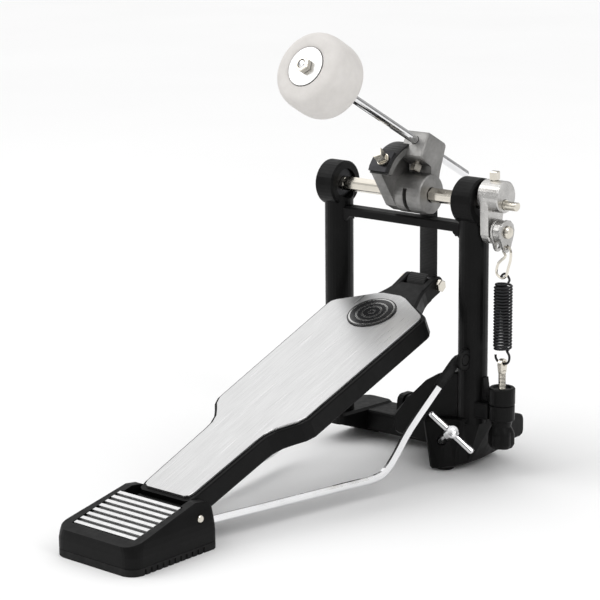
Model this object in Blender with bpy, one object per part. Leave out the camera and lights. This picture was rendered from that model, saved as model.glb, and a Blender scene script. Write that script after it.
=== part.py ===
"""Bass drum pedal: a sprung beater on an axle, pulled round by a belt from a hinged footboard.

The sizes below are millimetres in the pedal's own layout: X is the player's right, Y runs from
the heel to the drum, Z is up, and X = Y = 0 lies on the floor under the middle of the axle.
add_part() moves that layout so that the part's origin is the middle of its footprint.
"""

from math import asin, atan2, cos, pi, radians, sin

import bmesh
import bpy
from mathutils import Matrix, Vector

MM = 0.001
GAP = 0.3                          # clearance between pieces that touch
CENTRE = Vector((11.0, -126.0, 0.0))   # middle of the footprint in the pedal's layout
SHARP_DEG = 32.0

# Frame
AXLE_Z = 195.0
POST_X = 61.4
POST_R = 10.5
LEFT_POST_FOOT_Z = 22.0
RIGHT_POST_FOOT_Z = 36.0
SOCKET_R = POST_R + GAP
HOUSING_R = 16.5
HOUSING_BORE_R = 10.8
LEFT_HOUSING_X = (-71.0, -54.5)    # faces of the two bearing housings
RIGHT_HOUSING_X = (52.0, 69.0)
BEARING_R = HOUSING_BORE_R - GAP
BEARING_HALF_WIDTH = 6.0
CROSSBAR_TOP_Z = 178.8
CROSSBAR_HEIGHT = 6.4
CROSSBAR_DEPTH = 12.0
CROSSBAR_FILLET_R = 4.0

# Rubber feet under the base: middles (x, y)
FEET = {"base_foot_left": (-60.0, 36.5), "base_foot_right_rear": (44.5, -9.0),
        "base_foot_right_front": (37.0, 34.0)}
FOOT_R = 6.0
FOOT_TOP_Z = 1.0
BASE_LOW_Z = FOOT_TOP_Z + GAP

# Axle and the parts clamped to it
JOURNAL_R = 5.0
HEX_FLAT_R = 4.7                   # half the width across the flats of the hexagonal middle
STUB_R = 3.5
SCREW_R = 2.3                      # shanks of the small screws
STUB_END_X = 98.2
DRIVE_X = 0.8                      # middle of the belt, the cam and the toe fork
CAM_Y = -3.3                       # centre of the cam's round edge, off the axle
CAM_Z = 199.5
CAM_R = 29.0
BELT_WIDTH = 15.6
BELT_THICK = 1.6
BELT_R = CAM_R + GAP + BELT_THICK / 2
BELT_Y = CAM_Y + BELT_R
BELT_END_DEG = 156.0               # where the clamped end of the belt lies on the cam
CLAMP_DEG = 139.0
CLAMP_HEAD_R = 43.0                # how far out the clamp bolt's head reaches
HUB_RING_R = 14.4
HUB_RIGHT_X = 24.0
HUB_LEFT_X = -8.0
PEEL_DEG = 64.0                    # turn of the hub over which the straight belt peels off the cam
PEEL_REACH = 30.0
CLAMP_SLIT_X = (8.9, 12.3)         # faces of the slit through the clamp ring

# Beater
BEATER_X = 12.5
SHAFT_DEG = 28.3                   # how far the shaft leans back above the horizontal
SHAFT_OFFSET = 31.8                # from the axle to the shaft's centre line
SHAFT_R = 3.0
SCREW_ALONG = 12.0                 # the clamp screw's place along the shaft
BLOCK_TOP = 7.0                    # top face of the clamp block, off the shaft's centre line
SHAFT_TAIL = -46.0
SHAFT_TIP = 160.5
FELT_R = 27.6
FELT_LOW = 121.0
FELT_HIGH = 155.2
FELT_CORNER_R = 8.5
FELT_SEAT_R = 14.2                 # the shallow seat for the washer in the felt's far face
FELT_SEAT_DEPTH = 1.6

# Spring column beside the right post
SPRING_X = 87.0
ROCKER_IN_X = 70.3
ARM_IN_X = POST_X + POST_R + 0.5   # the arm below the rocker's disc clears the post
ROCKER_OUT_X = 87.5
ROCKER_Y = 1.5
ROCKER_Z = 200.0
ROCKER_R = 11.2
CLEVIS_Z = 176.0
LINK_HOLE_Z = 165.6
LINK_BOTTOM_Z = 142.4
LINK_WIRE_R = 0.95
LINK_HOLE_R = 1.9
INNER_PLATE_X = (81.1, 82.9)
OUTER_PLATE_X = (88.1, 89.9)
SPRING_TOP_Z = 141.3
SPRING_BOTTOM_Z = 90.5
SPRING_R = 5.9
SPRING_WIRE_R = 0.85
SPRING_TURNS = 22
EYE_Z = 82.5
TENSION_R = 2.6
NUT_TOP_Z = 65.3
LUG_TOP_Z = 53.0
LUG_LOW_Z = 41.3
KNOB_LOW_Z = 21.7
LUG_R = 9.2

# Heel and footboard
HEEL_HALF = 36.0
HEEL_REAR_Y = -314.0
HEEL_FRONT_Y = -237.5
HEEL_PAD_TOP = 5.0
RAMP_Y = -282.8                    # middle of the ribbed ramp
RAMP_Z = 26.15
RAMP_DEG = 14.1
RIB_HALF = 27.4
RIB_COUNT = 8
POCKET_HALF = 25.4                 # the slot the footboard swings in
PAD_NOTCHES = 11
PIN_Y = -251.5
PIN_Z = 22.6
PIN_R = 2.6
KNUCKLE_R = 5.4
BOARD_Y = -249.0                   # origin of the board's own measure
BOARD_Z = 21.8
BOARD_DEG = 20.75
PLATE_TOP = 10.9                   # above the line through the heel pin, along the board
PLATE_THICK = 1.6
WALL_LOW = -4.6
TOE_U = 287.5
TOE_N = 1.45
TOE_BOLT_R = 2.5
FORK_HALF = 14.8
BADGE_X = 1.0
BADGE_U = 229.0
BADGE_R = 18.2
TOE_Y = BOARD_Y + TOE_U * cos(radians(BOARD_DEG)) - TOE_N * sin(radians(BOARD_DEG))
LOOP_R = BELT_Y - TOE_Y - BELT_THICK / 2   # inside of the belt's loop at the toe
ROLLER_R = LOOP_R - 1.3

# Link rods
ROD_R = 2.9
BOSS_IN_X = 62.8
BOSS_OUT_X = 66.0
BOSS_Y = -14.6
BOSS_Z = 84.3

# Hoop clamp
BOLT_CAP = Vector((65.6, -30.0, 35.0))
BOLT_AXIS = Vector((0.707, -0.523, 0.476)).normalized()
HANDLE_AXIS = Vector((0.68, 0.32, -0.66)).normalized()
BOLT_R = 3.0
BOLT_LENGTH = 54.0
JAW_PIN_Y = 29.0
JAW_PIN_Z = 30.0
JAW_TOP_Z = 12.0                   # seat of the fixed lower jaw

COLOURS = {
    "black_casting": ((0.022, 0.022, 0.024), 0.45, 0.0),
    "black_wire": ((0.012, 0.012, 0.013), 0.35, 0.3),
    "rubber": ((0.018, 0.018, 0.018), 0.8, 0.0),
    "raw_casting": ((0.50, 0.49, 0.48), 0.48, 0.85),
    "brushed_aluminium": ((0.78, 0.78, 0.78), 0.30, 1.0),
    "chrome": ((0.80, 0.80, 0.80), 0.10, 1.0),
    "nickel": ((0.70, 0.66, 0.58), 0.18, 1.0),
    "felt": ((0.86, 0.85, 0.82), 0.95, 0.0),
    "belt": ((0.010, 0.010, 0.010), 0.85, 0.0),
    "badge": ((0.03, 0.03, 0.03), 0.30, 0.0),
    "clamp_pad": ((0.55, 0.38, 0.30), 0.8, 0.0),
}


# ---------------------------------------------------------------- objects and materials

def clear_scene():
    for obj in list(bpy.data.objects):
        bpy.data.objects.remove(obj, do_unlink=True)


def material(name):
    found = bpy.data.materials.get(name)
    if found:
        return found
    colour, roughness, metallic = COLOURS[name]
    made = bpy.data.materials.new(name)
    made.use_nodes = True
    shader = made.node_tree.nodes["Principled BSDF"]
    shader.inputs["Base Color"].default_value = (*colour, 1.0)
    shader.inputs["Roughness"].default_value = roughness
    shader.inputs["Metallic"].default_value = metallic
    return made


def add_part(name, bm, finish, pivot=(0.0, 0.0, 0.0)):
    """Makes an object from a bmesh in the pedal's layout, with its origin at the pivot."""
    pivot = Vector(pivot)
    bmesh.ops.recalc_face_normals(bm, faces=bm.faces)
    bmesh.ops.translate(bm, verts=bm.verts, vec=-pivot)
    bmesh.ops.scale(bm, verts=bm.verts, vec=(MM, MM, MM))
    mesh = bpy.data.meshes.new(name)
    bm.to_mesh(mesh)
    bm.free()
    mesh.shade_smooth()
    mesh.set_sharp_from_angle(angle=radians(SHARP_DEG))
    mesh.materials.append(material(finish))
    obj = bpy.data.objects.new(name, mesh)
    obj.location = (pivot - CENTRE) * MM
    bpy.context.scene.collection.objects.link(obj)
    return obj


def combine(obj, bm, operation):
    """Joins, cuts or trims an object with a second solid, and leaves the result as its mesh."""
    tool = add_part(obj.name + "_tool", bm, "black_casting")
    step = obj.modifiers.new(operation.lower(), "BOOLEAN")
    step.operation = operation
    step.solver = "EXACT"
    step.object = tool
    bpy.context.view_layer.update()
    shaped = obj.evaluated_get(bpy.context.evaluated_depsgraph_get())
    mesh = bpy.data.meshes.new_from_object(shaped)
    old = obj.data
    obj.modifiers.clear()
    obj.data = mesh
    mesh.name = obj.name
    bpy.data.meshes.remove(old)
    bpy.data.objects.remove(tool, do_unlink=True)
    mesh.shade_smooth()
    mesh.set_sharp_from_angle(angle=radians(SHARP_DEG))
    return obj


def fuse(obj, bm):
    return combine(obj, bm, "UNION")


def cut(obj, bm):
    return combine(obj, bm, "DIFFERENCE")


def trim(obj, bm):
    return combine(obj, bm, "INTERSECT")


# ---------------------------------------------------------------- outlines

def arc(centre, radius, start_deg, end_deg, steps):
    """Points on an arc, both ends included."""
    turn = [radians(start_deg + (end_deg - start_deg) * k / steps) for k in range(steps + 1)]
    return [(centre[0] + radius * cos(t), centre[1] + radius * sin(t)) for t in turn]


def rounded(corners, steps=3):
    """A closed outline from corners (a, b, radius), each turned with an arc of its radius."""
    outline = []
    count = len(corners)
    for k, (a, b, radius) in enumerate(corners):
        here = Vector((a, b))
        back = (Vector(corners[k - 1][:2]) - here).normalized()
        ahead = (Vector(corners[(k + 1) % count][:2]) - here).normalized()
        if radius <= 0.0:
            outline.append((a, b))
            continue
        half = back.angle(ahead) / 2
        inset = radius / max(1e-6, abs(sin(half) / cos(half)))
        middle = here + (back + ahead).normalized() * (radius / sin(half))
        first = here + back * inset - middle
        last = here + ahead * inset - middle
        sweep = first.angle_signed(last)
        for j in range(steps + 1):
            turned_by = Matrix.Rotation(-sweep * j / steps, 2)
            outline.append(tuple(middle + turned_by @ first))
    return outline


def capsule(first, first_r, second, second_r, steps=8):
    """Outline round two circles and the straight lines that touch them both."""
    run = Vector(second) - Vector(first)
    lean = asin((first_r - second_r) / run.length)
    heading = atan2(run.y, run.x)
    wide = pi / 2 - lean
    outline = []
    for j in range(steps + 1):
        t = heading + wide + (2 * pi - 2 * wide) * j / steps
        outline.append((first[0] + first_r * cos(t), first[1] + first_r * sin(t)))
    for j in range(steps + 1):
        t = heading - wide + 2 * wide * j / steps
        outline.append((second[0] + second_r * cos(t), second[1] + second_r * sin(t)))
    return outline


# ---------------------------------------------------------------- solids

def loft(rings, closed=False):
    """Skins rings of points with the same count, and caps the two ends unless closed."""
    bm = bmesh.new()
    rows = [[bm.verts.new(p) for p in ring] for ring in rings]
    pairs = list(zip(rows, rows[1:]))
    if closed:
        pairs.append((rows[-1], rows[0]))
    for low, high in pairs:
        for k in range(len(low)):
            j = (k + 1) % len(low)
            bm.faces.new((low[k], low[j], high[j], high[k]))
    if not closed:
        bm.faces.new(rows[0])
        bm.faces.new(rows[-1])
    return bm


def prism(outline, across, low, high, bevel=0.0):
    """An outline pushed along X, Y or Z. The outline holds the other two coordinates in order."""
    places = {"X": lambda a, b, c: (c, a, b), "Y": lambda a, b, c: (a, c, b),
              "Z": lambda a, b, c: (a, b, c)}
    at = places[across]
    if not bevel:
        return loft([[at(a, b, c) for a, b in outline] for c in (low, high)])
    bm = loft([[at(a, b, c) for a, b in outline] for c in (low, high)])
    caps = [e for e in bm.edges if abs(sum(v.co["XYZ".index(across)] for v in e.verts) - 2 * low) < 1e-4
            or abs(sum(v.co["XYZ".index(across)] for v in e.verts) - 2 * high) < 1e-4]
    bmesh.ops.bevel(bm, geom=caps, offset=bevel, segments=1, affect="EDGES", clamp_overlap=True)
    return bm


def box(low, high, bevel=0.0):
    outline = [(low[0], low[1]), (high[0], low[1]), (high[0], high[1]), (low[0], high[1])]
    bm = prism(outline, "Z", low[2], high[2])
    if bevel:
        bmesh.ops.bevel(bm, geom=list(bm.edges), offset=bevel, segments=1, affect="EDGES")
    return bm


def basis(origin, axis):
    """A frame whose Z runs along the axis."""
    turn = Vector(axis).to_track_quat("Z", "Y").to_matrix().to_4x4()
    return Matrix.Translation(Vector(origin)) @ turn


def turned(profile, origin, axis, segments=24, ring=False):
    """A profile of (radius, height) turned about an axis. A ring's profile is closed."""
    place = basis(origin, axis)
    bm = bmesh.new()
    rows = []
    for radius, height in profile:
        if radius == 0.0:
            rows.append([bm.verts.new(place @ Vector((0.0, 0.0, height)))] * segments)
            continue
        row = []
        for k in range(segments):
            t = 2 * pi * k / segments
            row.append(bm.verts.new(place @ Vector((radius * cos(t), radius * sin(t), height))))
        rows.append(row)
    pairs = list(zip(rows, rows[1:]))
    if ring:
        pairs.append((rows[-1], rows[0]))
    for low, high in pairs:
        for k in range(segments):
            j = (k + 1) % segments
            corners = []
            for vert in (low[k], low[j], high[j], high[k]):
                if vert not in corners:
                    corners.append(vert)
            bm.faces.new(corners)
    if not ring:
        for row in (rows[0], rows[-1]):
            if row[0] is not row[1]:
                bm.faces.new(row)
    return bm


def rod(start, end, radius, segments=16, chamfer=0.0):
    start = Vector(start)
    end = Vector(end)
    length = (end - start).length
    if chamfer:
        profile = [(radius - chamfer, 0), (radius, chamfer), (radius, length - chamfer),
                   (radius - chamfer, length)]
    else:
        profile = [(radius, 0), (radius, length)]
    return turned(profile, start, end - start, segments)


def tube_ring(outer, inner, start, end, segments=24, chamfer=0.0):
    """A plain ring: a cylinder with a bore, its outer edges broken when a chamfer is given."""
    start = Vector(start)
    length = (Vector(end) - start).length
    rim = [(outer, 0), (outer, length)]
    if chamfer:
        rim = [(outer - chamfer, 0), (outer, chamfer), (outer, length - chamfer), (outer - chamfer, length)]
    profile = [(inner, 0)] + rim + [(inner, length)]
    return turned(profile, start, Vector(end) - start, segments, ring=True)


def block_head(origin, axis, width, length, turn_deg=0.0, sides=4):
    """A square or hexagonal head: width across the flats, its outer edges broken."""
    corner = width / 2 / cos(pi / sides)
    place = basis(origin, axis) @ Matrix.Rotation(radians(turn_deg), 4, "Z")
    rings = []
    for radius, height in ((corner, 0), (corner, length - 0.6), (corner - 0.6, length)):
        ring = []
        for k in range(sides):
            t = 2 * pi * (k + 0.5) / sides
            ring.append(place @ Vector((radius * cos(t), radius * sin(t), height)))
        rings.append(ring)
    return loft(rings)


def wire(path, radius, sides=8, closed=False):
    """A round wire along a list of points, its section carried from point to point."""
    points = [Vector(p) for p in path]
    count = len(points)
    normal = None
    rings = []
    for k, point in enumerate(points):
        back = points[k - 1] if closed or k else point
        ahead = points[(k + 1) % count] if closed or k < count - 1 else point
        along = (ahead - back).normalized()
        if normal is None:
            normal = along.orthogonal().normalized()
        normal = (normal - along * normal.dot(along)).normalized()
        side = along.cross(normal)
        rings.append([point + (normal * cos(2 * pi * j / sides) + side * sin(2 * pi * j / sides)) * radius
                      for j in range(sides)])
    if not closed:
        return loft(rings)
    drift = (rings[0][0] - points[0]).angle(normal)
    shift = round(drift / (2 * pi / sides))
    side = (points[1] - points[-1]).normalized().cross(normal)
    if side.dot(rings[0][0] - points[0]) < 0:
        shift = -shift
    rings[0] = [rings[0][(j - shift) % sides] for j in range(sides)]
    return loft(rings, closed=True)


def smooth_path(points, steps=4):
    """Points on a Catmull-Rom curve through the given points."""
    given = [Vector(p) for p in points]
    ends = [2 * given[0] - given[1]] + given + [2 * given[-1] - given[-2]]
    path = []
    for k in range(1, len(ends) - 2):
        a, b, c, d = ends[k - 1:k + 3]
        for j in range(steps):
            t = j / steps
            path.append(((2 * b) + (c - a) * t + (2 * a - 5 * b + 4 * c - d) * t ** 2
                         + (3 * b - a - 3 * c + d) * t ** 3) / 2)
    path.append(given[-1])
    return path


# ---------------------------------------------------------------- base and clamp

def base_casting():
    """Cross beam, left foot, right block with the slanted clamp face, and the brace to the post."""
    beam = rounded([(13.0, 6.8, 1.5), (44.0, 6.8, 1.5), (44.0, 22.2, 3.0), (13.0, 22.2, 3.0)])
    base = add_part("base_casting", prism(beam, "X", -60.0, 40.0), "black_casting")
    left = rounded([(-76.0, -14.0, 8.0), (-48.0, -14.0, 5.0), (-44.0, 44.0, 5.0), (-73.0, 46.0, 9.0)])
    fuse(base, prism(left, "Z", BASE_LOW_Z, 23.6, bevel=1.8))
    toe_slope = [(-30.0, -2.0), (27.0, -2.0), (27.0, BASE_LOW_Z), (-12.5, 15.5), (-30.0, 15.5)]
    cut(base, prism(toe_slope, "X", -90.0, -30.0))
    top = [(31, -18, 35), (49, -15.5, 38.5), (62, -12.5, 40.5), (71.5, -5, 40.5), (74, 12, 39),
           (72, 38, 38), (58, 46, 38), (24, 46, 36), (19, 4, 36)]
    low = [(40.5, -21.5, 1.3), (48, -19, 1.7), (55.5, -11, 3), (59, 0, 4), (59, 18, 4.5),
           (57, 40, 4.5), (50, 45, 3), (26, 45, 1.8), (24, 2, 1.8)]
    block = loft([low, top])
    bmesh.ops.bevel(block, geom=list(block.edges), offset=1.4, segments=1, affect="EDGES")
    bmesh.ops.triangulate(block, faces=block.faces)
    fuse(base, block)
    for name in ("base_foot_right_rear", "base_foot_right_front"):
        fuse(base, rod((*FEET[name], BASE_LOW_Z), (*FEET[name], 12.0), FOOT_R + 1.0, 18))
    brace = [(-4.8, 16.4, 5), (-4.8, 31.5, 5), (8.6, 45.0, 5), (26.0, 61.8, 8), (38.0, 69.0, 10),
             (62.0, 74.0, 0), (62.0, 30.0, 0), (22.0, 16.4, 2)]
    fuse(base, prism(rounded(brace, 2), "Y", -8.0, 14.0, bevel=2.2))
    lug = [(30.0, 18.0, 2), (44.0, 18.0, 4), (44.0, 34.0, 4), (32.0, 36.5, 3), (22.0, 30.0, 2)]
    fuse(base, prism(rounded(lug, 2), "X", 60.0, 75.5, bevel=1.2))
    jaw = rounded([(-18.0, 38.0, 2), (20.0, 38.0, 2), (17.0, 61.0, 6), (-15.0, 61.0, 6)])
    fuse(base, prism(jaw, "Z", JAW_TOP_Z - 5.0, JAW_TOP_Z))
    for low_x in (-24.0, 19.0):
        ear = rounded([(20.0, 18.0, 0), (41.0, 18.0, 0), (38.0, 36.0, 5), (22.0, 36.0, 5)])
        fuse(base, prism(ear, "X", low_x, low_x + 5.0))
    for x, foot in ((-POST_X, LEFT_POST_FOOT_Z), (POST_X, RIGHT_POST_FOOT_Z)):
        cut(base, rod((x, 0, foot), (x, 0, 90), SOCKET_R, 28))
    inner = BOLT_CAP - BOLT_AXIS * (BOLT_LENGTH + 1.0)
    cut(base, rod(inner, BOLT_CAP, BOLT_R + 0.5, 16))
    cut(base, rod((-30, JAW_PIN_Y, JAW_PIN_Z), (30, JAW_PIN_Y, JAW_PIN_Z), 2.3, 16))
    return base


def base_feet():
    """Rubber feet under the left foot and the right block."""
    for name, (x, y) in FEET.items():
        add_part(name, rod((x, y, 0.0), (x, y, FOOT_TOP_Z), FOOT_R, 18), "rubber")


def clamp_jaw():
    """Upper jaw of the hoop clamp, rocking on a pin between the two ears of the base."""
    side = rounded([(21.5, 24.5, 2), (44.0, 25.5, 0), (46.0, 24.5, 0), (61.0, 24.5, 2),
                    (61.5, 31.0, 3), (44.0, 36.0, 4), (24.0, 35.5, 4)])
    jaw = add_part("clamp_jaw", prism(side, "X", -18.6, 18.6, bevel=1.0), "black_casting",
                   (0.0, JAW_PIN_Y, JAW_PIN_Z))
    cut(jaw, rod((-30, JAW_PIN_Y, JAW_PIN_Z), (30, JAW_PIN_Y, JAW_PIN_Z), 2.3, 16))
    add_part("clamp_jaw_pin", rod((-25, JAW_PIN_Y, JAW_PIN_Z), (25, JAW_PIN_Y, JAW_PIN_Z), 2.0, 16, 0.4),
             "nickel")
    upper = rounded([(-13.0, 46.5, 1), (15.0, 46.5, 1), (15.0, 60.0, 3), (-13.0, 60.0, 3)])
    add_part("clamp_upper_pad", prism(upper, "Z", 21.9, 24.5 - GAP), "rubber", (0.0, JAW_PIN_Y, JAW_PIN_Z))
    lower = rounded([(-13.0, 44.5, 1), (15.0, 44.5, 1), (14.0, 60.0, 4), (-12.0, 60.0, 4)])
    add_part("clamp_lower_pad", prism(lower, "Z", JAW_TOP_Z + GAP, JAW_TOP_Z + 2.6), "clamp_pad")


def clamp_bolt():
    """Angled T-bolt that closes the clamp, and the bar through its head."""
    profile = [(0, 0), (BOLT_R - 0.6, 0), (BOLT_R, 1.0), (BOLT_R, BOLT_LENGTH - 7.0),
               (4.4, BOLT_LENGTH - 6.0), (4.8, BOLT_LENGTH - 4.0), (4.8, BOLT_LENGTH + 2.8),
               (4.0, BOLT_LENGTH + 4.2), (2.0, BOLT_LENGTH + 5.0), (0, BOLT_LENGTH + 5.2)]
    inner = BOLT_CAP - BOLT_AXIS * BOLT_LENGTH
    bolt = add_part("clamp_bolt", turned(profile, inner, BOLT_AXIS, 20), "chrome", BOLT_CAP)
    cut(bolt, rod(BOLT_CAP - HANDLE_AXIS * 8, BOLT_CAP + HANDLE_AXIS * 8, 2.3 + GAP, 16))
    profile = [(0, -20.5), (1.6, -20.1), (2.3, -18.9), (2.3, 18.9), (1.6, 20.1), (0, 20.5)]
    add_part("clamp_bolt_bar", turned(profile, BOLT_CAP, HANDLE_AXIS, 14), "chrome", BOLT_CAP)


# ---------------------------------------------------------------- posts and bearings

def posts():
    """Round posts with a bearing housing at the top and a bored boss for the link elbow."""
    for name, side, foot, housing in (("left_post", -1, LEFT_POST_FOOT_Z, LEFT_HOUSING_X),
                                      ("right_post", 1, RIGHT_POST_FOOT_Z, RIGHT_HOUSING_X)):
        x = side * POST_X
        post = add_part(name, rod((x, 0, foot + GAP), (x, 0, AXLE_Z - 4), POST_R, 28), "black_casting")
        fuse(post, rod((housing[0], 0, AXLE_Z), (housing[1], 0, AXLE_Z), HOUSING_R, 36, 1.2))
        inner = side * BOSS_IN_X
        outer = side * BOSS_OUT_X
        fuse(post, rod((inner, BOSS_Y, BOSS_Z), (outer, BOSS_Y, BOSS_Z), 7.8, 20, 0.8))
        cut(post, rod((housing[0] - 6, 0, AXLE_Z), (housing[1] + 6, 0, AXLE_Z), HOUSING_BORE_R, 28))
        cut(post, rod((inner - side * 8, BOSS_Y, BOSS_Z), (outer + side, BOSS_Y, BOSS_Z), 4.3, 18))
        face = housing[0] if side < 0 else housing[1]
        cut(post, rod((face, 0, AXLE_Z), (face + side * 6, 0, AXLE_Z), HOUSING_R + 1.0, 36))


def crossbar():
    """Flat bar between the posts, with a round fillet down each post."""
    low = CROSSBAR_TOP_Z - CROSSBAR_HEIGHT
    fillet_x = POST_X - POST_R - CROSSBAR_FILLET_R
    right = arc((fillet_x, low - CROSSBAR_FILLET_R), CROSSBAR_FILLET_R, 90, 0, 5)
    left = [(-x, z) for x, z in reversed(right)]
    outline = [(-POST_X, CROSSBAR_TOP_Z), (-POST_X, low - CROSSBAR_FILLET_R)] + left + right \
        + [(POST_X, low - CROSSBAR_FILLET_R), (POST_X, CROSSBAR_TOP_Z)]
    half = CROSSBAR_DEPTH / 2
    bar = add_part("crossbar", prism(outline, "Y", -half, half, bevel=1.8), "black_casting")
    for side in (-1, 1):
        cut(bar, rod((side * POST_X, 0, 140), (side * POST_X, 0, 190), SOCKET_R, 28))


def bearings():
    for name, housing in (("left_bearing", LEFT_HOUSING_X), ("right_bearing", RIGHT_HOUSING_X)):
        middle = (housing[0] + housing[1]) / 2
        ends = [(middle - BEARING_HALF_WIDTH, 0, AXLE_Z), (middle + BEARING_HALF_WIDTH, 0, AXLE_Z)]
        add_part(name, tube_ring(BEARING_R, JOURNAL_R + GAP, ends[0], ends[1], 24), "chrome")


def link_sockets_and_rods():
    """Elbow in each post boss, and the bent rod from it to the heel."""
    for label, side in (("left", -1), ("right", 1)):
        bend = Vector((side * 58.6, BOSS_Y - 2.2, BOSS_Z - 2.4))
        foot = Vector((side * 54.6, -30.6, 66.4))
        mouth = [(side * BOSS_OUT_X, BOSS_Y, BOSS_Z), (side * 63.6, BOSS_Y, BOSS_Z),
                 (side * 61.6, BOSS_Y - 0.2, BOSS_Z - 0.2)]
        elbow = smooth_path(mouth + [bend, foot], 3)
        sleeve = add_part(label + "_link_elbow", wire(elbow, 3.7, 12), "rubber", (side * 58, BOSS_Y, BOSS_Z))
        along = (foot - bend).normalized()
        cut(sleeve, rod(foot - along * 8.0, foot + along * 3.0, ROD_R + 0.4, 16))
        route = [foot - along * 7.0, foot - along * 3.5, foot + along * 3.0]
        route += [(side * 50.4, -57.9, 40.6), (side * 49.8, -72.0, 25.9), (side * 49.2, -82.6, 16.6),
                  (side * 47.5, -93.5, 12.9), (side * 42.0, -120.0, 12.6), (side * 30.0, -184.0, 12.8),
                  (side * 22.0, -228.0, 13.2), (side * 19.4, -254.0, 13.2), (side * 19.2, -272.0, 13.2)]
        add_part(label + "_link_rod", wire(smooth_path(route, 3), ROD_R, 8), "chrome")


# ---------------------------------------------------------------- axle, hub, rocker

def axle():
    """Round journals, a hexagonal middle, and a thin stub with a flat for the rocker."""
    segments = 24

    def ring(x, shape):
        points = []
        for k in range(segments):
            t = 2 * pi * k / segments
            if shape == "hex":
                nearest = (t + pi / 6) % (pi / 3) - pi / 6
                radius = min(HEX_FLAT_R / cos(nearest), HEX_FLAT_R * 1.12)
            else:
                radius = shape
            points.append((x, radius * cos(t), AXLE_Z + radius * sin(t)))
        return points

    shoulder = ROCKER_IN_X - GAP
    steps = [(-70.0, JOURNAL_R - 0.6), (-69.4, JOURNAL_R), (-54.0, JOURNAL_R), (-53.5, "hex"),
             (50.5, "hex"), (51.0, JOURNAL_R), (shoulder - 0.1, JOURNAL_R), (shoulder, STUB_R),
             (STUB_END_X - 0.6, STUB_R), (STUB_END_X, STUB_R - 0.6)]
    shaft = add_part("axle", loft([ring(x, shape) for x, shape in steps]), "nickel", (0, 0, AXLE_Z))
    cut(shaft, box((ROCKER_OUT_X + 1.0, -5, AXLE_Z + 2.2), (STUB_END_X + 2.0, 5, AXLE_Z + 6)))


def shaft_point(along, off=0.0):
    """A point of the beater's side view: along the shaft to the felt, and off its centre line."""
    lean = radians(SHAFT_DEG)
    y = SHAFT_OFFSET * sin(lean) - along * cos(lean) + off * sin(lean)
    z = AXLE_Z + SHAFT_OFFSET * cos(lean) + along * sin(lean) + off * cos(lean)
    return y, z


def cam_point(turn_deg, out, x=3.5):
    """A point off the middle of the cam's round edge, turned up from the drum side."""
    turn = radians(turn_deg)
    return Vector((x, CAM_Y + out * cos(turn), CAM_Z + out * sin(turn)))


def hub_casting():
    """Clamp ring on the axle, cam disc with its rim, and the block that holds the beater."""
    centre = (CAM_Y, CAM_Z)
    rim = arc(centre, CAM_R, 2, BELT_END_DEG - 2, 22)
    disc = arc(centre, CAM_R - 0.7, 2, BELT_END_DEG - 2, 22) \
        + [(-11.5, 186.0), (-3.0, 181.5), (6.0, 182.0), (12.5, 188.0)]
    hub = add_part("hub_casting", prism(disc, "X", HUB_LEFT_X, 1.0), "raw_casting", (0, 0, AXLE_Z))
    inside = arc(centre, CAM_R - 4.5, BELT_END_DEG - 2, 2, 22)
    fuse(hub, prism(rim + inside, "X", HUB_LEFT_X + 1.0, DRIVE_X + BELT_WIDTH / 2))
    fuse(hub, rod((0.0, 0, AXLE_Z), (HUB_RIGHT_X, 0, AXLE_Z), HUB_RING_R, 32, 0.8))
    side = ((-1.5, BLOCK_TOP), (22.3, BLOCK_TOP), (22.3, -13.0), (7.2, -13.0), (2.0, -25.0), (-8.0, -25.0),
            (-3.2, -13.0))
    corners = [shaft_point(a, b) for a, b in side]
    radii = (2.5, 1.6, 1.6, 1.0, 1.0, 1.0, 3.0)
    block = rounded([(y, z, r) for (y, z), r in zip(corners, radii)], 2)
    fuse(hub, prism(block, "X", 2.6, 22.4, bevel=0.9))
    belt_side = DRIVE_X + BELT_WIDTH / 2 + GAP
    outer = BELT_R + BELT_THICK / 2 + GAP
    slot = arc(centre, outer, 12, 118, 14) + arc(centre, CAM_R + GAP / 2, 118, 12, 14)
    cut(hub, prism(slot, "X", HUB_LEFT_X, belt_side))
    peel = radians(PEEL_DEG)
    start = (CAM_Y + outer * cos(peel), CAM_Z + outer * sin(peel))
    end = (start[0] + PEEL_REACH * sin(peel), start[1] - PEEL_REACH * cos(peel))
    swept = arc(centre, CAM_R + GAP / 2, PEEL_DEG, 0, 12) + [(end[0], AXLE_Z - 5.0), end, start]
    cut(hub, prism(swept, "X", HUB_LEFT_X, belt_side))
    cut(hub, rod((-12, 0, AXLE_Z), (30, 0, AXLE_Z), HEX_FLAT_R * 1.12 + GAP, 24))
    low = shaft_point(-12)
    high = shaft_point(34)
    cut(hub, rod((BEATER_X, *low), (BEATER_X, *high), SHAFT_R + GAP, 20))
    cut(hub, box((CLAMP_SLIT_X[0], -HUB_RING_R - 3, AXLE_Z - HUB_RING_R - 3),
                 (CLAMP_SLIT_X[1], -3.0, AXLE_Z + 5.0)))
    screw_low = shaft_point(SCREW_ALONG, -20)
    screw_high = shaft_point(SCREW_ALONG, -1.5)
    cut(hub, rod((BEATER_X, *screw_low), (BEATER_X, *screw_high), 2.2 + GAP, 16))
    cut(hub, rod((15.5, 6.0, AXLE_Z), (15.5, 24.0, AXLE_Z + 3.0), 2.0 + GAP, 16))
    cut(hub, rod(cam_point(CLAMP_DEG, 20), cam_point(CLAMP_DEG, 38), 2.0 + GAP, 14))


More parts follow.
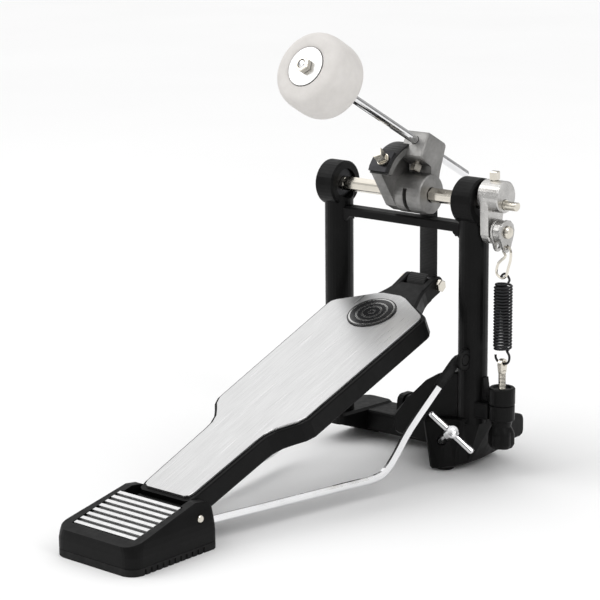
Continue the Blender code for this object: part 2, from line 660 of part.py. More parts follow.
def hub_screws():
    tip = shaft_point(SCREW_ALONG, -SHAFT_R - 0.8)
    tail = shaft_point(SCREW_ALONG, -14.0)
    along = Vector((0, tail[0] - tip[0], tail[1] - tip[1])).normalized()
    start = Vector((BEATER_X, *tip))
    screw = add_part("beater_clamp_screw", rod(start, start + along * 11.0, 2.2, 14), "nickel", start)
    fuse(screw, block_head(start + along * 10.5, along, 5.2, 5.3, 20))
    start = Vector((15.5, 8.0, AXLE_Z + 0.35))
    along = Vector((0, 18.0, 3.0)).normalized()
    screw = add_part("hub_set_screw", rod(start, start + along * 8.0, 2.0, 14), "black_wire", start)
    fuse(screw, block_head(start + along * 7.6, along, 4.8, 4.0, 0, 6))


def belt_clamp():
    """Curved plate over the end of the belt, with its bolt and washer."""
    centre = (CAM_Y, CAM_Z)
    low_r = BELT_R + BELT_THICK / 2 + GAP
    outline = arc(centre, low_r + 2.0, CLAMP_DEG - 15, CLAMP_DEG + 15, 5) \
        + arc(centre, low_r, CLAMP_DEG + 15, CLAMP_DEG - 15, 5)
    half = BELT_WIDTH / 2
    plate = add_part("belt_clamp_plate", prism(outline, "X", DRIVE_X - half, DRIVE_X + half, 0.4),
                     "black_wire", (0, 0, AXLE_Z))
    cut(plate, rod(cam_point(CLAMP_DEG, 26), cam_point(CLAMP_DEG, 38), 2.0 + GAP, 14))
    seat = low_r + 2.0 + 0.35
    top = seat + 1.4
    washer = tube_ring(4.6, 2.0 + GAP, cam_point(CLAMP_DEG, seat), cam_point(CLAMP_DEG, top), 18)
    add_part("belt_clamp_washer", washer, "nickel", (0, 0, AXLE_Z))
    shank = rod(cam_point(CLAMP_DEG, 22), cam_point(CLAMP_DEG, top + 1.0), 2.0, 14)
    bolt = add_part("belt_clamp_bolt", shank, "nickel", (0, 0, AXLE_Z))
    out = cam_point(CLAMP_DEG, 1.0, 0.0) - cam_point(CLAMP_DEG, 0.0, 0.0)
    fuse(bolt, block_head(cam_point(CLAMP_DEG, top + GAP), out, 6.2, CLAMP_HEAD_R - top, 30))


def rocker():
    """Arm clamped on the axle's stub; its lower end pulls the spring."""
    disc = rod((ROCKER_IN_X, ROCKER_Y, ROCKER_Z), (ROCKER_OUT_X, ROCKER_Y, ROCKER_Z), ROCKER_R, 32, 0.7)
    arm = add_part("rocker", disc, "raw_casting", (0, 0, AXLE_Z))
    outline = capsule((ROCKER_Y, ROCKER_Z - 1.0), 11.0, (0.0, CLEVIS_Z - 2.0), 7.4, 9)
    fuse(arm, prism(outline, "X", ARM_IN_X, ARM_IN_X + 6.8, 0.8))
    ends = (ROCKER_IN_X - 4.0, ROCKER_OUT_X + 4.0)
    cut(arm, rod((ends[0], 0, AXLE_Z), (ends[1], 0, AXLE_Z), STUB_R + GAP, 18))
    cut(arm, rod((ends[0], 0, CLEVIS_Z), (ends[1], 0, CLEVIS_Z), SCREW_R + GAP, 14))
    screw_x = ROCKER_IN_X + 7.3
    start = Vector((screw_x, ROCKER_Y, AXLE_Z + STUB_R + 0.5))
    up = Vector((0, 0, 1))
    cut(arm, rod(start - up * 2.0, start + up * 20.0, SCREW_R + GAP, 14))
    screw = add_part("rocker_set_screw", rod(start, start + up * 14, SCREW_R, 14), "nickel", start)
    fuse(screw, block_head(start + up * 12.4, up, 5.4, 5.9, 12))


# ---------------------------------------------------------------- belt

def belt():
    """Woven belt in three stretches: round the cam, straight down, and round the toe roller."""
    half = BELT_WIDTH / 2
    low = DRIVE_X - half
    high = DRIVE_X + half
    centre = (CAM_Y, CAM_Z)
    outer = BELT_R + BELT_THICK / 2
    inner = BELT_R - BELT_THICK / 2
    outline = arc(centre, outer, 0.6, BELT_END_DEG, 22) + arc(centre, inner, BELT_END_DEG, 0.6, 22)
    wrap = add_part("belt_on_cam", prism(outline, "X", low, high), "belt", (0, CAM_Y, CAM_Z))
    cut(wrap, rod(cam_point(CLAMP_DEG, 26), cam_point(CLAMP_DEG, 38), 2.0 + GAP, 14))
    toe = toe_centre()
    add_part("belt_run", box((low, BELT_Y - BELT_THICK / 2, toe.z + GAP),
                             (high, BELT_Y + BELT_THICK / 2, CAM_Z)), "belt", (0, BELT_Y, CAM_Z))
    outline = arc((toe.y, toe.z), LOOP_R + BELT_THICK, 0, -250, 18) \
        + arc((toe.y, toe.z), LOOP_R, -250, 0, 18)
    add_part("belt_toe_loop", prism(outline, "X", low, high), "belt", toe)


def toe_centre():
    lean = radians(BOARD_DEG)
    return Vector((0.0, BOARD_Y + TOE_U * cos(lean) - TOE_N * sin(lean),
                   BOARD_Z + TOE_U * sin(lean) + TOE_N * cos(lean)))


# ---------------------------------------------------------------- beater

def beater():
    lean = radians(SHAFT_DEG)
    along = Vector((0, -cos(lean), sin(lean)))
    root = Vector((BEATER_X, *shaft_point(0)))
    profile = [(SHAFT_R - 0.6, SHAFT_TAIL), (SHAFT_R, SHAFT_TAIL + 0.6), (SHAFT_R, SHAFT_TIP - 1.5),
               (SHAFT_R - 1.0, SHAFT_TIP - 0.4), (0, SHAFT_TIP)]
    add_part("beater_shaft", turned(profile, root, along, 18), "chrome", root)
    hollow = SHAFT_R + GAP
    seat = FELT_HIGH - FELT_SEAT_DEPTH
    inset = FELT_R - FELT_CORNER_R
    edge = arc((inset, FELT_LOW + FELT_CORNER_R), FELT_CORNER_R, -90, 0, 5) \
        + arc((inset, FELT_HIGH - FELT_CORNER_R), FELT_CORNER_R, 0, 90, 5)
    profile = [(hollow, FELT_LOW)] + edge \
        + [(FELT_SEAT_R + 0.8, FELT_HIGH), (FELT_SEAT_R, seat), (hollow, seat)]
    head = root + along * FELT_LOW
    add_part("beater_felt", turned(profile, root, along, 36, ring=True), "felt", head)
    thick = 1.3
    for name, start, radius in (("beater_top_washer", seat + GAP, FELT_SEAT_R - GAP - 0.3),
                                ("beater_low_washer", FELT_LOW - GAP - thick, 11.0)):
        ends = [root + along * start, root + along * (start + thick)]
        add_part(name, tube_ring(radius, hollow, ends[0], ends[1], 28), "nickel", head)
    start = seat + GAP + thick + GAP
    nut = block_head(root + along * start, along, 9.6, 4.2, 10, 6)
    made = add_part("beater_nut", nut, "nickel", head)
    cut(made, rod(root + along * (start - 3.0), root + along * (start + 8.0), hollow, 18))
    start = FELT_LOW - GAP - thick - GAP
    collar = tube_ring(5.2, hollow, root + along * (start - 5.4), root + along * start, 20)
    add_part("beater_collar", collar, "nickel", head)


# ---------------------------------------------------------------- spring column

def clevis():
    """Bearing between two plates on a screw through the rocker's end; a hole below takes the link."""
    pivot = (SPRING_X, 0, CLEVIS_Z)
    reach = (ROCKER_IN_X - 4.0, SPRING_X + 8.0)
    outline = capsule((0.0, CLEVIS_Z), 8.6, (0.0, LINK_HOLE_Z + 0.6), 4.6, 8)
    for name, (low, high) in (("clevis_inner_plate", INNER_PLATE_X), ("clevis_outer_plate", OUTER_PLATE_X)):
        plate = add_part(name, prism(outline, "X", low, high, 0.3), "raw_casting", pivot)
        cut(plate, rod((reach[0], 0, CLEVIS_Z), (reach[1], 0, CLEVIS_Z), SCREW_R + GAP, 14))
        cut(plate, rod((reach[0], 0, LINK_HOLE_Z), (reach[1], 0, LINK_HOLE_Z), LINK_HOLE_R, 14))
    ends = [(INNER_PLATE_X[1] + GAP, 0, CLEVIS_Z), (OUTER_PLATE_X[0] - GAP, 0, CLEVIS_Z)]
    add_part("clevis_bearing", tube_ring(7.9, SCREW_R + GAP, ends[0], ends[1], 24), "raw_casting", pivot)
    head_x = OUTER_PLATE_X[1] + GAP
    shank = rod((ARM_IN_X + 0.6, 0, CLEVIS_Z), (head_x + 1.0, 0, CLEVIS_Z), SCREW_R, 14)
    screw = add_part("clevis_screw", shank, "nickel", pivot)
    profile = [(0, head_x), (4.5, head_x), (4.5, head_x + 1.1), (3.4, head_x + 2.3), (0, head_x + 2.7)]
    fuse(screw, turned(profile, (0, 0, CLEVIS_Z), (1, 0, 0), 20))


def spring_link():
    """Pear-shaped wire link: narrow where it passes the outer plate's hole, wide below."""
    inside = (INNER_PLATE_X[1] + OUTER_PLATE_X[0]) / 2 + 0.6
    outside = OUTER_PLATE_X[1] + 1.9
    top = LINK_HOLE_Z
    low = LINK_BOTTOM_Z + LINK_WIRE_R
    corners = [(outside, top + 0.2), (outside + 1.2, top - 3.4), (outside + 0.9, top - 9.0), (90.8, 150.6),
               (89.2, low + 1.7), (85.8, low), (82.2, low + 1.4), (81.0, low + 4.2), (82.6, 153.4),
               (87.0, 157.4), (88.6, 159.6), (inside + 0.6, 162.2), (inside, top)]
    run = smooth_path([(x, 0.0, z) for x, z in corners], 2)
    add_part("spring_link", wire(run, LINK_WIRE_R, 8, closed=True), "nickel", (SPRING_X, 0, low))


def spring():
    """Close-wound spring with a hook at each end."""
    per_turn = 8
    coil = []
    rise = (SPRING_TOP_Z - SPRING_BOTTOM_Z - 3.0) / SPRING_TURNS
    total = SPRING_TURNS * per_turn
    for k in range(total + 1):
        ends = min(k, total - k) / per_turn
        radius = SPRING_R - 2.2 * max(0.0, 1.0 - ends) ** 2
        t = 2 * pi * k / per_turn
        z = SPRING_BOTTOM_Z + 1.5 + rise * k / per_turn
        coil.append((SPRING_X + radius * cos(t), radius * sin(t), z))
    hook_z = LINK_BOTTOM_Z + 2 * LINK_WIRE_R + SPRING_WIRE_R + GAP
    top = [(SPRING_X + 2.6, 3.6, SPRING_TOP_Z + 0.4), (SPRING_X + 0.4, 5.6, SPRING_TOP_Z + 1.8),
           (SPRING_X - 0.2, 5.0, hook_z - 1.2), (SPRING_X - 0.4, 2.6, hook_z + 0.6),
           (SPRING_X - 0.6, 0.2, hook_z + 0.5), (SPRING_X - 0.8, -1.9, hook_z - 1.0)]
    low = [(SPRING_X + 5.9, 0.0, SPRING_BOTTOM_Z - 2.0), (SPRING_X + 5.2, 0.0, SPRING_BOTTOM_Z - 6.2),
           (SPRING_X + 2.0, 0.0, EYE_Z - 0.1), (SPRING_X - 2.4, 0.0, EYE_Z + 0.1),
           (SPRING_X - 5.4, 0.0, SPRING_BOTTOM_Z - 5.4), (SPRING_X - 5.9, 0.0, SPRING_BOTTOM_Z - 2.6)]
    path = list(reversed(low)) + coil + top
    add_part("spring", wire(path, SPRING_WIRE_R, 5), "black_wire", (SPRING_X, 0, EYE_Z))


def eye_bolt():
    """Flat eye on a threaded shank."""
    outline = capsule((0.0, EYE_Z - 0.4), 3.9, (0.0, EYE_Z - 5.5), 3.0, 7)
    eye = prism(outline, "X", SPRING_X - 1.7, SPRING_X + 1.7, 0.3)
    bolt = add_part("eye_bolt", eye, "nickel", (SPRING_X, 0, EYE_Z))
    fuse(bolt, rod((SPRING_X, 0, KNOB_LOW_Z + 5.0), (SPRING_X, 0, EYE_Z - 5.0), TENSION_R, 16, 0.4))
    cut(bolt, rod((SPRING_X - 5, 0, EYE_Z), (SPRING_X + 5, 0, EYE_Z), 1.9, 14))


def tension_parts():
    """Lock nut above the bracket lug, and the fluted knob below it."""
    bore = TENSION_R + GAP
    nut_low = LUG_TOP_Z + GAP
    profile = [(bore, nut_low), (9.2, nut_low), (9.4, nut_low + 0.6), (9.4, NUT_TOP_Z - 0.9),
               (8.6, NUT_TOP_Z), (6.8, NUT_TOP_Z), (5.8, NUT_TOP_Z - 1.4), (bore, NUT_TOP_Z - 1.4)]
    add_part("tension_lock_nut", turned(profile, (SPRING_X, 0, 0), (0, 0, 1), 28, ring=True),
             "black_casting", (SPRING_X, 0, nut_low))
    flutes = 6
    steps = 36
    heights = [(LUG_LOW_Z - GAP, 7.6, 0.0), (37.0, 6.8, 0.0), (33.6, 8.6, 0.6), (31.2, 9.3, 1.0),
               (KNOB_LOW_Z + 2.6, 9.3, 1.0), (KNOB_LOW_Z, 7.8, 0.7)]
    rings = []
    for z, radius, depth in heights:
        ring = []
        for k in range(steps):
            t = 2 * pi * k / steps
            r = radius - depth * (0.5 + 0.5 * cos(flutes * t)) ** 2
            ring.append((SPRING_X + r * cos(t), r * sin(t), z))
        rings.append(ring)
    knob = add_part("tension_knob", loft(rings), "black_casting", (SPRING_X, 0, LUG_LOW_Z))
    cut(knob, rod((SPRING_X, 0, KNOB_LOW_Z + 1.8), (SPRING_X, 0, LUG_TOP_Z), bore, 16))


def spring_bracket():
    """Lug on the right post that carries the tension bolt."""
    web = rounded([(62.0, -8.0, 0), (80.0, -8.0, 2), (80.0, 8.0, 2), (62.0, 8.0, 0)])
    bracket = add_part("spring_bracket", prism(web, "Z", LUG_LOW_Z, LUG_TOP_Z, 0.8), "black_casting")
    fuse(bracket, rod((SPRING_X, 0, LUG_LOW_Z), (SPRING_X, 0, LUG_TOP_Z), LUG_R, 28, 0.8))
    fillet = [(60.0, LUG_TOP_Z - 2), (79.0, LUG_TOP_Z - 2), (76.0, 56.0), (74.2, 62.0), (73.0, 70.0),
              (60.0, 70.0)]
    fuse(bracket, prism(fillet, "Y", -3.0, 3.0))
    cut(bracket, rod((POST_X, 0, 30), (POST_X, 0, 80), SOCKET_R, 32))
    cut(bracket, rod((SPRING_X, 0, 30), (SPRING_X, 0, LUG_TOP_Z + 2), TENSION_R + GAP + 0.2, 16))
    cut(bracket, rod((SPRING_X, 0, LUG_TOP_Z), (SPRING_X, 0, 80), 9.4 + GAP, 24))


# ---------------------------------------------------------------- heel

def heel_plan(inset):
    """Outline of the heel from above, its sides and rear corners drawn in by the inset."""
    half = HEEL_HALF - inset
    rear = HEEL_REAR_Y + inset * 0.6
    corner = 9.0 + inset * 1.6
    return rounded([(-half, rear, corner), (half, rear, corner), (half, HEEL_FRONT_Y, 4),
                    (-half, HEEL_FRONT_Y, 4)], 7)


def on_ramp(x, along, up):
    """A point of the heel's ramp: along its slope from the middle of the ribs, and above it."""
    slope = radians(RAMP_DEG)
    y = RAMP_Y + along * cos(slope) - up * sin(slope)
    return x, y, RAMP_Z + along * sin(slope) + up * cos(slope)


def heel():
    """Casting with the ribbed ramp, rubber pad, grip and hinge pin."""
    low = HEEL_PAD_TOP + GAP
    front = HEEL_FRONT_Y
    side = rounded([(HEEL_REAR_Y - 1.0, low, 0), (front, low, 0), (front, 26.0, 5), (-243.0, 31.8, 4),
                    (-253.0, 33.2, 3), (HEEL_REAR_Y + 2.4, 19.2, 3), (HEEL_REAR_Y - 1.0, 18.4, 0)])
    casting = add_part("heel_casting", prism(side, "X", -HEEL_HALF - 2, HEEL_HALF + 2), "black_casting")
    heights = ((0.0, 0.0), (12.0, 0.0), (16.0, 0.4), (20.0, 1.1), (24.0, 2.1), (28.0, 3.2), (36.0, 5.0))
    trim(casting, loft([[(x, y, z) for x, y in heel_plan(inset)] for z, inset in heights]))
    cut(casting, box((-POCKET_HALF, -264.0, low + 2.5), (POCKET_HALF, front + 10, 60)))
    pocket = [on_ramp(0, a, b)[1:] for a, b in ((-22.6, -2.3), (22.6, -2.3), (22.6, 9), (-22.6, 9))]
    cut(casting, prism(pocket, "X", -RIB_HALF - 0.6, RIB_HALF + 0.6))
    cut(casting, rod((-40, PIN_Y, PIN_Z), (40, PIN_Y, PIN_Z), PIN_R + GAP, 18))
    for side_sign in (-1, 1):
        ends = [(side_sign * 19.2, -258.0, 13.2), (side_sign * 19.2, -273.0, 13.2)]
        cut(casting, rod(*ends, ROD_R + GAP + 0.1, 14))
    pad = add_part("heel_rubber_pad", prism(heel_plan(0.0), "Z", 0.0, HEEL_PAD_TOP, 0.5), "rubber")
    teeth = [(HEEL_HALF - 0.8, HEEL_PAD_TOP - 1.2), (HEEL_HALF + 2.0, HEEL_PAD_TOP - 1.2),
             (HEEL_HALF + 2.0, -1.0), (HEEL_HALF - 0.8, -1.0)]
    for k in range(PAD_NOTCHES):
        y = HEEL_REAR_Y + 11.0 + k * 5.2
        for side_sign in (-1, 1):
            notch = [(side_sign * x, z) for x, z in teeth]
            cut(pad, prism(notch, "Y", y - 0.9, y + 0.9))
    pitch = 39.8 / (RIB_COUNT - 1)
    outline = [(-22.3, -2.0), (22.3, -2.0), (22.3, -1.2)]
    for k in range(RIB_COUNT):
        middle = (RIB_COUNT - 1) * pitch / 2 - k * pitch
        outline += [(middle + 1.6, -1.2), (middle + 1.4, 0.0), (middle - 1.4, 0.0), (middle - 1.6, -1.2)]
    outline.append((-22.3, -1.2))
    grip = [on_ramp(0, a, b)[1:] for a, b in outline]
    add_part("heel_grip", prism(grip, "X", -RIB_HALF, RIB_HALF), "brushed_aluminium")
    ends = [(-HEEL_HALF + 1.0, PIN_Y, PIN_Z), (HEEL_HALF - 1.0, PIN_Y, PIN_Z)]
    add_part("heel_hinge_pin", rod(*ends, PIN_R, 16, 0.5), "nickel")


# ---------------------------------------------------------------- footboard

def on_board(x, u, n):
    """A point given by its distance along the board from the heel and above the board's line."""
    lean = radians(BOARD_DEG)
    return (x, BOARD_Y + u * cos(lean) - n * sin(lean), BOARD_Z + u * sin(lean) + n * cos(lean))


def board_outline(margin):
    """Right half of the plate's outline from heel to toe, widened by a margin."""
    waist = [(22.4 + margin, 72.0), (23.1 + margin, 79.0), (26.0 + margin, 86.5),
             (31.0 + margin, 93.0), (36.3 + margin, 99.0), (39.1 + margin, 105.5)]
    toe = [(41.5 + margin, 230.5), (41.1 + margin, 234.0), (38.5 + margin, 237.0 + margin / 2),
           (14.0, 252.5 + margin / 2), (8.0, 254.6 + margin / 2)]
    return [(16.5 + margin, 4.7 - margin), (19.6 + margin, 6.4 - margin), (20.7 + margin, 10.0)] \
        + waist + toe


def full_outline(right):
    return right + [(-x, u) for x, u in reversed(right)]


def board_slab(outline, levels):
    """A slab in board directions. Each level is (n, widening)."""
    rings = []
    for n, widen in levels:
        ring = []
        for x, u in outline:
            grow = widen if x > 0 else -widen
            ring.append(on_board(x + grow, u, n))
        rings.append(ring)
    return loft(rings)


def footboard():
    """Casting with its neck and toe fork, the bright plate laid on it, and a plain disc."""
    pin = (0, PIN_Y, PIN_Z)
    deck = PLATE_TOP - PLATE_THICK - GAP
    body = board_slab(full_outline(board_outline(2.6)),
                      [(WALL_LOW, 0.9), (WALL_LOW + 1.2, 1.4), (deck - 1.0, 0.5), (deck, 0.0)])
    board = add_part("footboard_casting", body, "black_casting", pin)
    right = [(27.0, 240.0), (20.5, 256.0), (16.5, 266.0), (FORK_HALF + 0.2, 272.0), (FORK_HALF, 276.8)]
    neck = [(x + DRIVE_X, u) for x, u in right] + [(DRIVE_X - x, u) for x, u in reversed(right)]
    fuse(board, board_slab(neck, [(-6.2, -1.2), (-5.0, 0.0), (5.0, 0.0), (deck - 2.1, -1.6)]))
    toe = toe_centre()
    finger = capsule((toe.y, toe.z), 6.5, on_board(0, 266.0, 0.4)[1:], 6.0, 8)
    slot = BELT_WIDTH / 2 + 1.7
    for low, high in ((DRIVE_X - FORK_HALF, DRIVE_X - slot), (DRIVE_X + slot, DRIVE_X + FORK_HALF)):
        fuse(board, prism(finger, "X", low, high, 0.8))
    fuse(board, rod((-22.0, PIN_Y, PIN_Z), (22.0, PIN_Y, PIN_Z), KNUCKLE_R, 24, 0.6))
    cut(board, rod((-40, toe.y, toe.z), (40, toe.y, toe.z), TOE_BOLT_R + GAP, 16))
    cut(board, rod((-40, PIN_Y, PIN_Z), (40, PIN_Y, PIN_Z), PIN_R + GAP, 18))
    plate = board_slab(full_outline(board_outline(0.0)),
                       [(PLATE_TOP - PLATE_THICK, 0.0), (PLATE_TOP - 0.4, 0.0), (PLATE_TOP, -0.4)])
    add_part("footboard_plate", plate, "brushed_aluminium", pin)
    centre = Vector(on_board(BADGE_X, BADGE_U, PLATE_TOP + GAP))
    top = Vector(on_board(BADGE_X, BADGE_U, PLATE_TOP + GAP + 0.7))
    add_part("toe_badge", rod(centre, top, BADGE_R, 36, 0.3), "badge", pin)


def toe_parts():
    """Bolt and nut through the toe fork, and the roller the belt turns round."""
    toe = toe_centre()
    left = DRIVE_X - FORK_HALF - GAP
    right = DRIVE_X + FORK_HALF + GAP
    shank = rod((left - 4.0, toe.y, toe.z), (right + 1.0, toe.y, toe.z), TOE_BOLT_R, 14)
    bolt = add_part("toe_bolt", shank, "nickel", toe)
    fuse(bolt, block_head((right, toe.y, toe.z), (1, 0, 0), 8.0, 3.6, 10, 6))
    nut = add_part("toe_nut", block_head((left, toe.y, toe.z), (-1, 0, 0), 8.0, 3.2, 0, 6), "nickel", toe)
    cut(nut, rod((left - 10, toe.y, toe.z), (left + 5, toe.y, toe.z), TOE_BOLT_R + GAP, 14))
    half = BELT_WIDTH / 2 + 1.0
    ends = [(DRIVE_X - half, toe.y, toe.z), (DRIVE_X + half, toe.y, toe.z)]
    add_part("belt_roller", tube_ring(ROLLER_R, TOE_BOLT_R + GAP, ends[0], ends[1], 24), "chrome", toe)


def main():
    clear_scene()
    base_casting()
    base_feet()
    clamp_jaw()
    clamp_bolt()
    posts()
    crossbar()
    bearings()
    link_sockets_and_rods()
    axle()
    hub_casting()
    hub_screws()
    belt_clamp()
    rocker()
    belt()
    beater()
    clevis()
    spring_link()
    spring()
    eye_bolt()
    tension_parts()
    spring_bracket()
    heel()
    footboard()
    toe_parts()


main()
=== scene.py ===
"""Looks for the bass drum pedal: materials, felt, belt, spring, floor, light and camera."""

from math import cos, pi, radians, sin

import bmesh
import bpy
from mathutils import Matrix, Vector, noise


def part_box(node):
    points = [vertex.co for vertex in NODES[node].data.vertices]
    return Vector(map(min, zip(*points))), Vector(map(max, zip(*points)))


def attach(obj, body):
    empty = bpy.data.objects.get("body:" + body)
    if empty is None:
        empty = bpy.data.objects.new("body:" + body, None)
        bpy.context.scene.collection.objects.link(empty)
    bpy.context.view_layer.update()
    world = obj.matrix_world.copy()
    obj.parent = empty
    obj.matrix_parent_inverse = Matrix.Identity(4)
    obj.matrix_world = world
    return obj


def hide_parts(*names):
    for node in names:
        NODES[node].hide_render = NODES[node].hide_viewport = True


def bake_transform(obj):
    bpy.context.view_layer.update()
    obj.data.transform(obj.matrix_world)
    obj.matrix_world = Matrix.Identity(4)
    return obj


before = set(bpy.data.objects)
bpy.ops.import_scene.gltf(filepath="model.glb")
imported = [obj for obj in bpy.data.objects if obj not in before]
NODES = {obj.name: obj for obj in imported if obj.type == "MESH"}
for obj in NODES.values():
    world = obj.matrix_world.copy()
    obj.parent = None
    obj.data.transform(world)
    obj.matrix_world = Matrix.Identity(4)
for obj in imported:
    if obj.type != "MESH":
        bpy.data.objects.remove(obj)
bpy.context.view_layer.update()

MM = 0.001
MIDDLE = Vector((11.0, -126.0, 0.0))   # the part's origin in the pedal's own layout, in mm

# Pedal layout, in mm
AXLE_Z = 195.0
CAM_Y = -3.3
CAM_Z = 199.5
BELT_R = 30.1
BELT_X = 0.8
BELT_HALF = 7.8
BELT_THICK = 1.6
BELT_END_DEG = 156.0
SHAFT_DEG = 28.3
SHAFT_OFFSET = 31.8
BEATER_X = 12.5
FELT_R = 27.6
FELT_LOW = 121.0
FELT_HIGH = 155.2
FELT_BORE_R = 3.4
FELT_CORE_R = FELT_R - 10.2       # where the rounded edge starts
FELT_EDGE = 10.0
FELT_SIDES = 96
FELT_ROUNDING = 0.60              # 1 would be an ellipse, less is squarer
SPRING_X = 87.0
SPRING_TOP_Z = 141.3
SPRING_BOTTOM_Z = 90.5
EYE_Z = 82.5
SPRING_R = 5.9
SPRING_WIRE_R = 0.85
SPRING_TURNS = 22
LINK_BOTTOM_Z = 142.4             # underside of the wire link that the spring hangs from
LINK_WIRE_R = 0.95
GAP = 0.3
BOARD_Y = -249.0
BOARD_Z = 21.8
BOARD_DEG = 20.75
PLATE_TOP = 10.9
BADGE_X = 1.0
BADGE_U = 229.0
BADGE_R = 18.2
BADGE_RINGS = ((0.10, 0.16), (0.34, 0.42), (0.58, 0.66), (0.87, 0.93))   # as parts of its radius
RAMP_Y = -282.8
RAMP_Z = 26.15
RAMP_DEG = 14.1

# Camera: metres, degrees and a lens in mm
CAMERA_PLACE = (0.9216, -1.0532, 0.4605)
CAMERA_AZIMUTH_DEG = 41.22
CAMERA_ELEVATION_DEG = 12.92
CAMERA_ROLL_DEG = -0.516
CAMERA_LENS = 128.1


def at(x, y, z):
    """A point of the pedal's layout, in the part's frame."""
    return (Vector((x, y, z)) - MIDDLE) * MM


def on_board(x, u, n):
    """A point of the footboard: across it, up its length and off its face."""
    lean = radians(BOARD_DEG)
    return at(x, BOARD_Y + u * cos(lean) - n * sin(lean), BOARD_Z + u * sin(lean) + n * cos(lean))


def shaft_point(along):
    """A point along the beater's rod."""
    lean = radians(SHAFT_DEG)
    y = SHAFT_OFFSET * sin(lean) - along * cos(lean)
    return at(BEATER_X, y, AXLE_Z + SHAFT_OFFSET * cos(lean) + along * sin(lean))


# ---------------------------------------------------------------- materials

class Look:
    """A Principled material with helpers for procedural detail in the part's own metres."""

    def __init__(self, name, colour, roughness, metallic=0.0):
        self.material = bpy.data.materials.new(name)
        self.material.use_nodes = True
        self.nodes = self.material.node_tree.nodes
        self.links = self.material.node_tree.links
        self.shader = self.nodes["Principled BSDF"]
        self.shader.inputs["Base Color"].default_value = (*colour, 1.0)
        self.shader.inputs["Roughness"].default_value = roughness
        self.shader.inputs["Metallic"].default_value = metallic
        self.place = self.nodes.new("ShaderNodeTexCoord").outputs["Object"]
        self.height = None

    def set(self, socket, value):
        self.shader.inputs[socket].default_value = value

    def mapped(self, scale, turn=(0.0, 0.0, 0.0), shift=(0.0, 0.0, 0.0)):
        node = self.nodes.new("ShaderNodeMapping")
        node.vector_type = "POINT"
        node.inputs["Location"].default_value = shift
        node.inputs["Rotation"].default_value = turn
        node.inputs["Scale"].default_value = scale
        self.links.new(self.place, node.inputs["Vector"])
        return node.outputs["Vector"]

    def noise(self, scale, detail=3.0, vector=None, rough=0.5):
        node = self.nodes.new("ShaderNodeTexNoise")
        node.inputs["Scale"].default_value = scale
        node.inputs["Detail"].default_value = detail
        node.inputs["Roughness"].default_value = rough
        self.links.new(vector or self.place, node.inputs["Vector"])
        return node.outputs["Fac"]

    def ramp(self, value, stops):
        node = self.nodes.new("ShaderNodeValToRGB")
        band = node.color_ramp
        while len(band.elements) < len(stops):
            band.elements.new(0.5)
        for element, (place, colour) in zip(band.elements, stops):
            element.position = place
            element.color = (*(colour if isinstance(colour, tuple) else (colour,) * 3), 1.0)
        self.links.new(value, node.inputs["Fac"])
        return node.outputs["Color"]

    def math(self, operation, first, second=0.0):
        node = self.nodes.new("ShaderNodeMath")
        node.operation = operation
        for socket, value in zip(node.inputs, (first, second)):
            if isinstance(value, (int, float)):
                socket.default_value = value
            else:
                self.links.new(value, socket)
        return node.outputs["Value"]

    def roughness(self, value, low, high):
        self.links.new(self.ramp(value, [(0.3, low), (0.7, high)]), self.shader.inputs["Roughness"])

    def colour(self, output):
        self.links.new(output, self.shader.inputs["Base Color"])

    def bump(self, value, distance_mm, strength=1.0):
        """Adds one layer of relief over the ones already there."""
        node = self.nodes.new("ShaderNodeBump")
        node.inputs["Strength"].default_value = strength
        node.inputs["Distance"].default_value = distance_mm * MM
        self.links.new(value, node.inputs["Height"])
        if self.height:
            self.links.new(self.height, node.inputs["Normal"])
        self.height = node.outputs["Normal"]
        self.links.new(self.height, self.shader.inputs["Normal"])

    def along(self, origin, axis):
        """Distance in mm from a point along an axis."""
        axis = Vector(axis).normalized()
        node = self.nodes.new("ShaderNodeVectorMath")
        node.operation = "DOT_PRODUCT"
        self.links.new(self.place, node.inputs[0])
        node.inputs[1].default_value = axis / MM
        return self.math("SUBTRACT", node.outputs["Value"], axis.dot(Vector(origin)) / MM)

    def distance(self, origin):
        node = self.nodes.new("ShaderNodeVectorMath")
        node.operation = "DISTANCE"
        self.links.new(self.place, node.inputs[0])
        node.inputs[1].default_value = origin
        return self.math("DIVIDE", node.outputs["Value"], MM)


def powder_coat(name="black_casting", shade=0.0032):
    """Satin black coating over a casting: fine orange peel, slightly worn and dusty patches."""
    look = Look(name, (shade, shade, shade), 0.42)
    patches = look.noise(55.0, 4.0)
    dusty = (shade * 1.35, shade * 1.35, shade * 1.4)
    look.colour(look.ramp(patches, [(0.3, (shade * 0.8,) * 3), (0.75, dusty)]))
    look.roughness(look.noise(220.0, 3.0), 0.34, 0.48)
    look.bump(look.noise(1500.0, 2.0), 0.06, 0.55)
    look.bump(look.noise(180.0, 2.0), 0.12, 0.30)
    look.set("Specular IOR Level", 0.13)
    return look.material


def rubber():
    """Matt black moulded rubber."""
    look = Look("rubber", (0.014, 0.014, 0.014), 0.68)
    look.roughness(look.noise(300.0), 0.58, 0.78)
    look.colour(look.ramp(look.noise(90.0, 4.0), [(0.3, 0.004), (0.8, 0.011)]))
    look.bump(look.noise(2400.0, 2.0), 0.05, 0.5)
    look.set("Specular IOR Level", 0.25)
    return look.material


def clamp_pad():
    """Reddish-brown pad in the hoop clamp."""
    look = Look("clamp_pad", (0.42, 0.27, 0.20), 0.8)
    look.colour(look.ramp(look.noise(400.0, 4.0), [(0.3, (0.36, 0.22, 0.16)), (0.7, (0.50, 0.33, 0.25))]))
    look.bump(look.noise(2200.0), 0.08, 0.6)
    return look.material


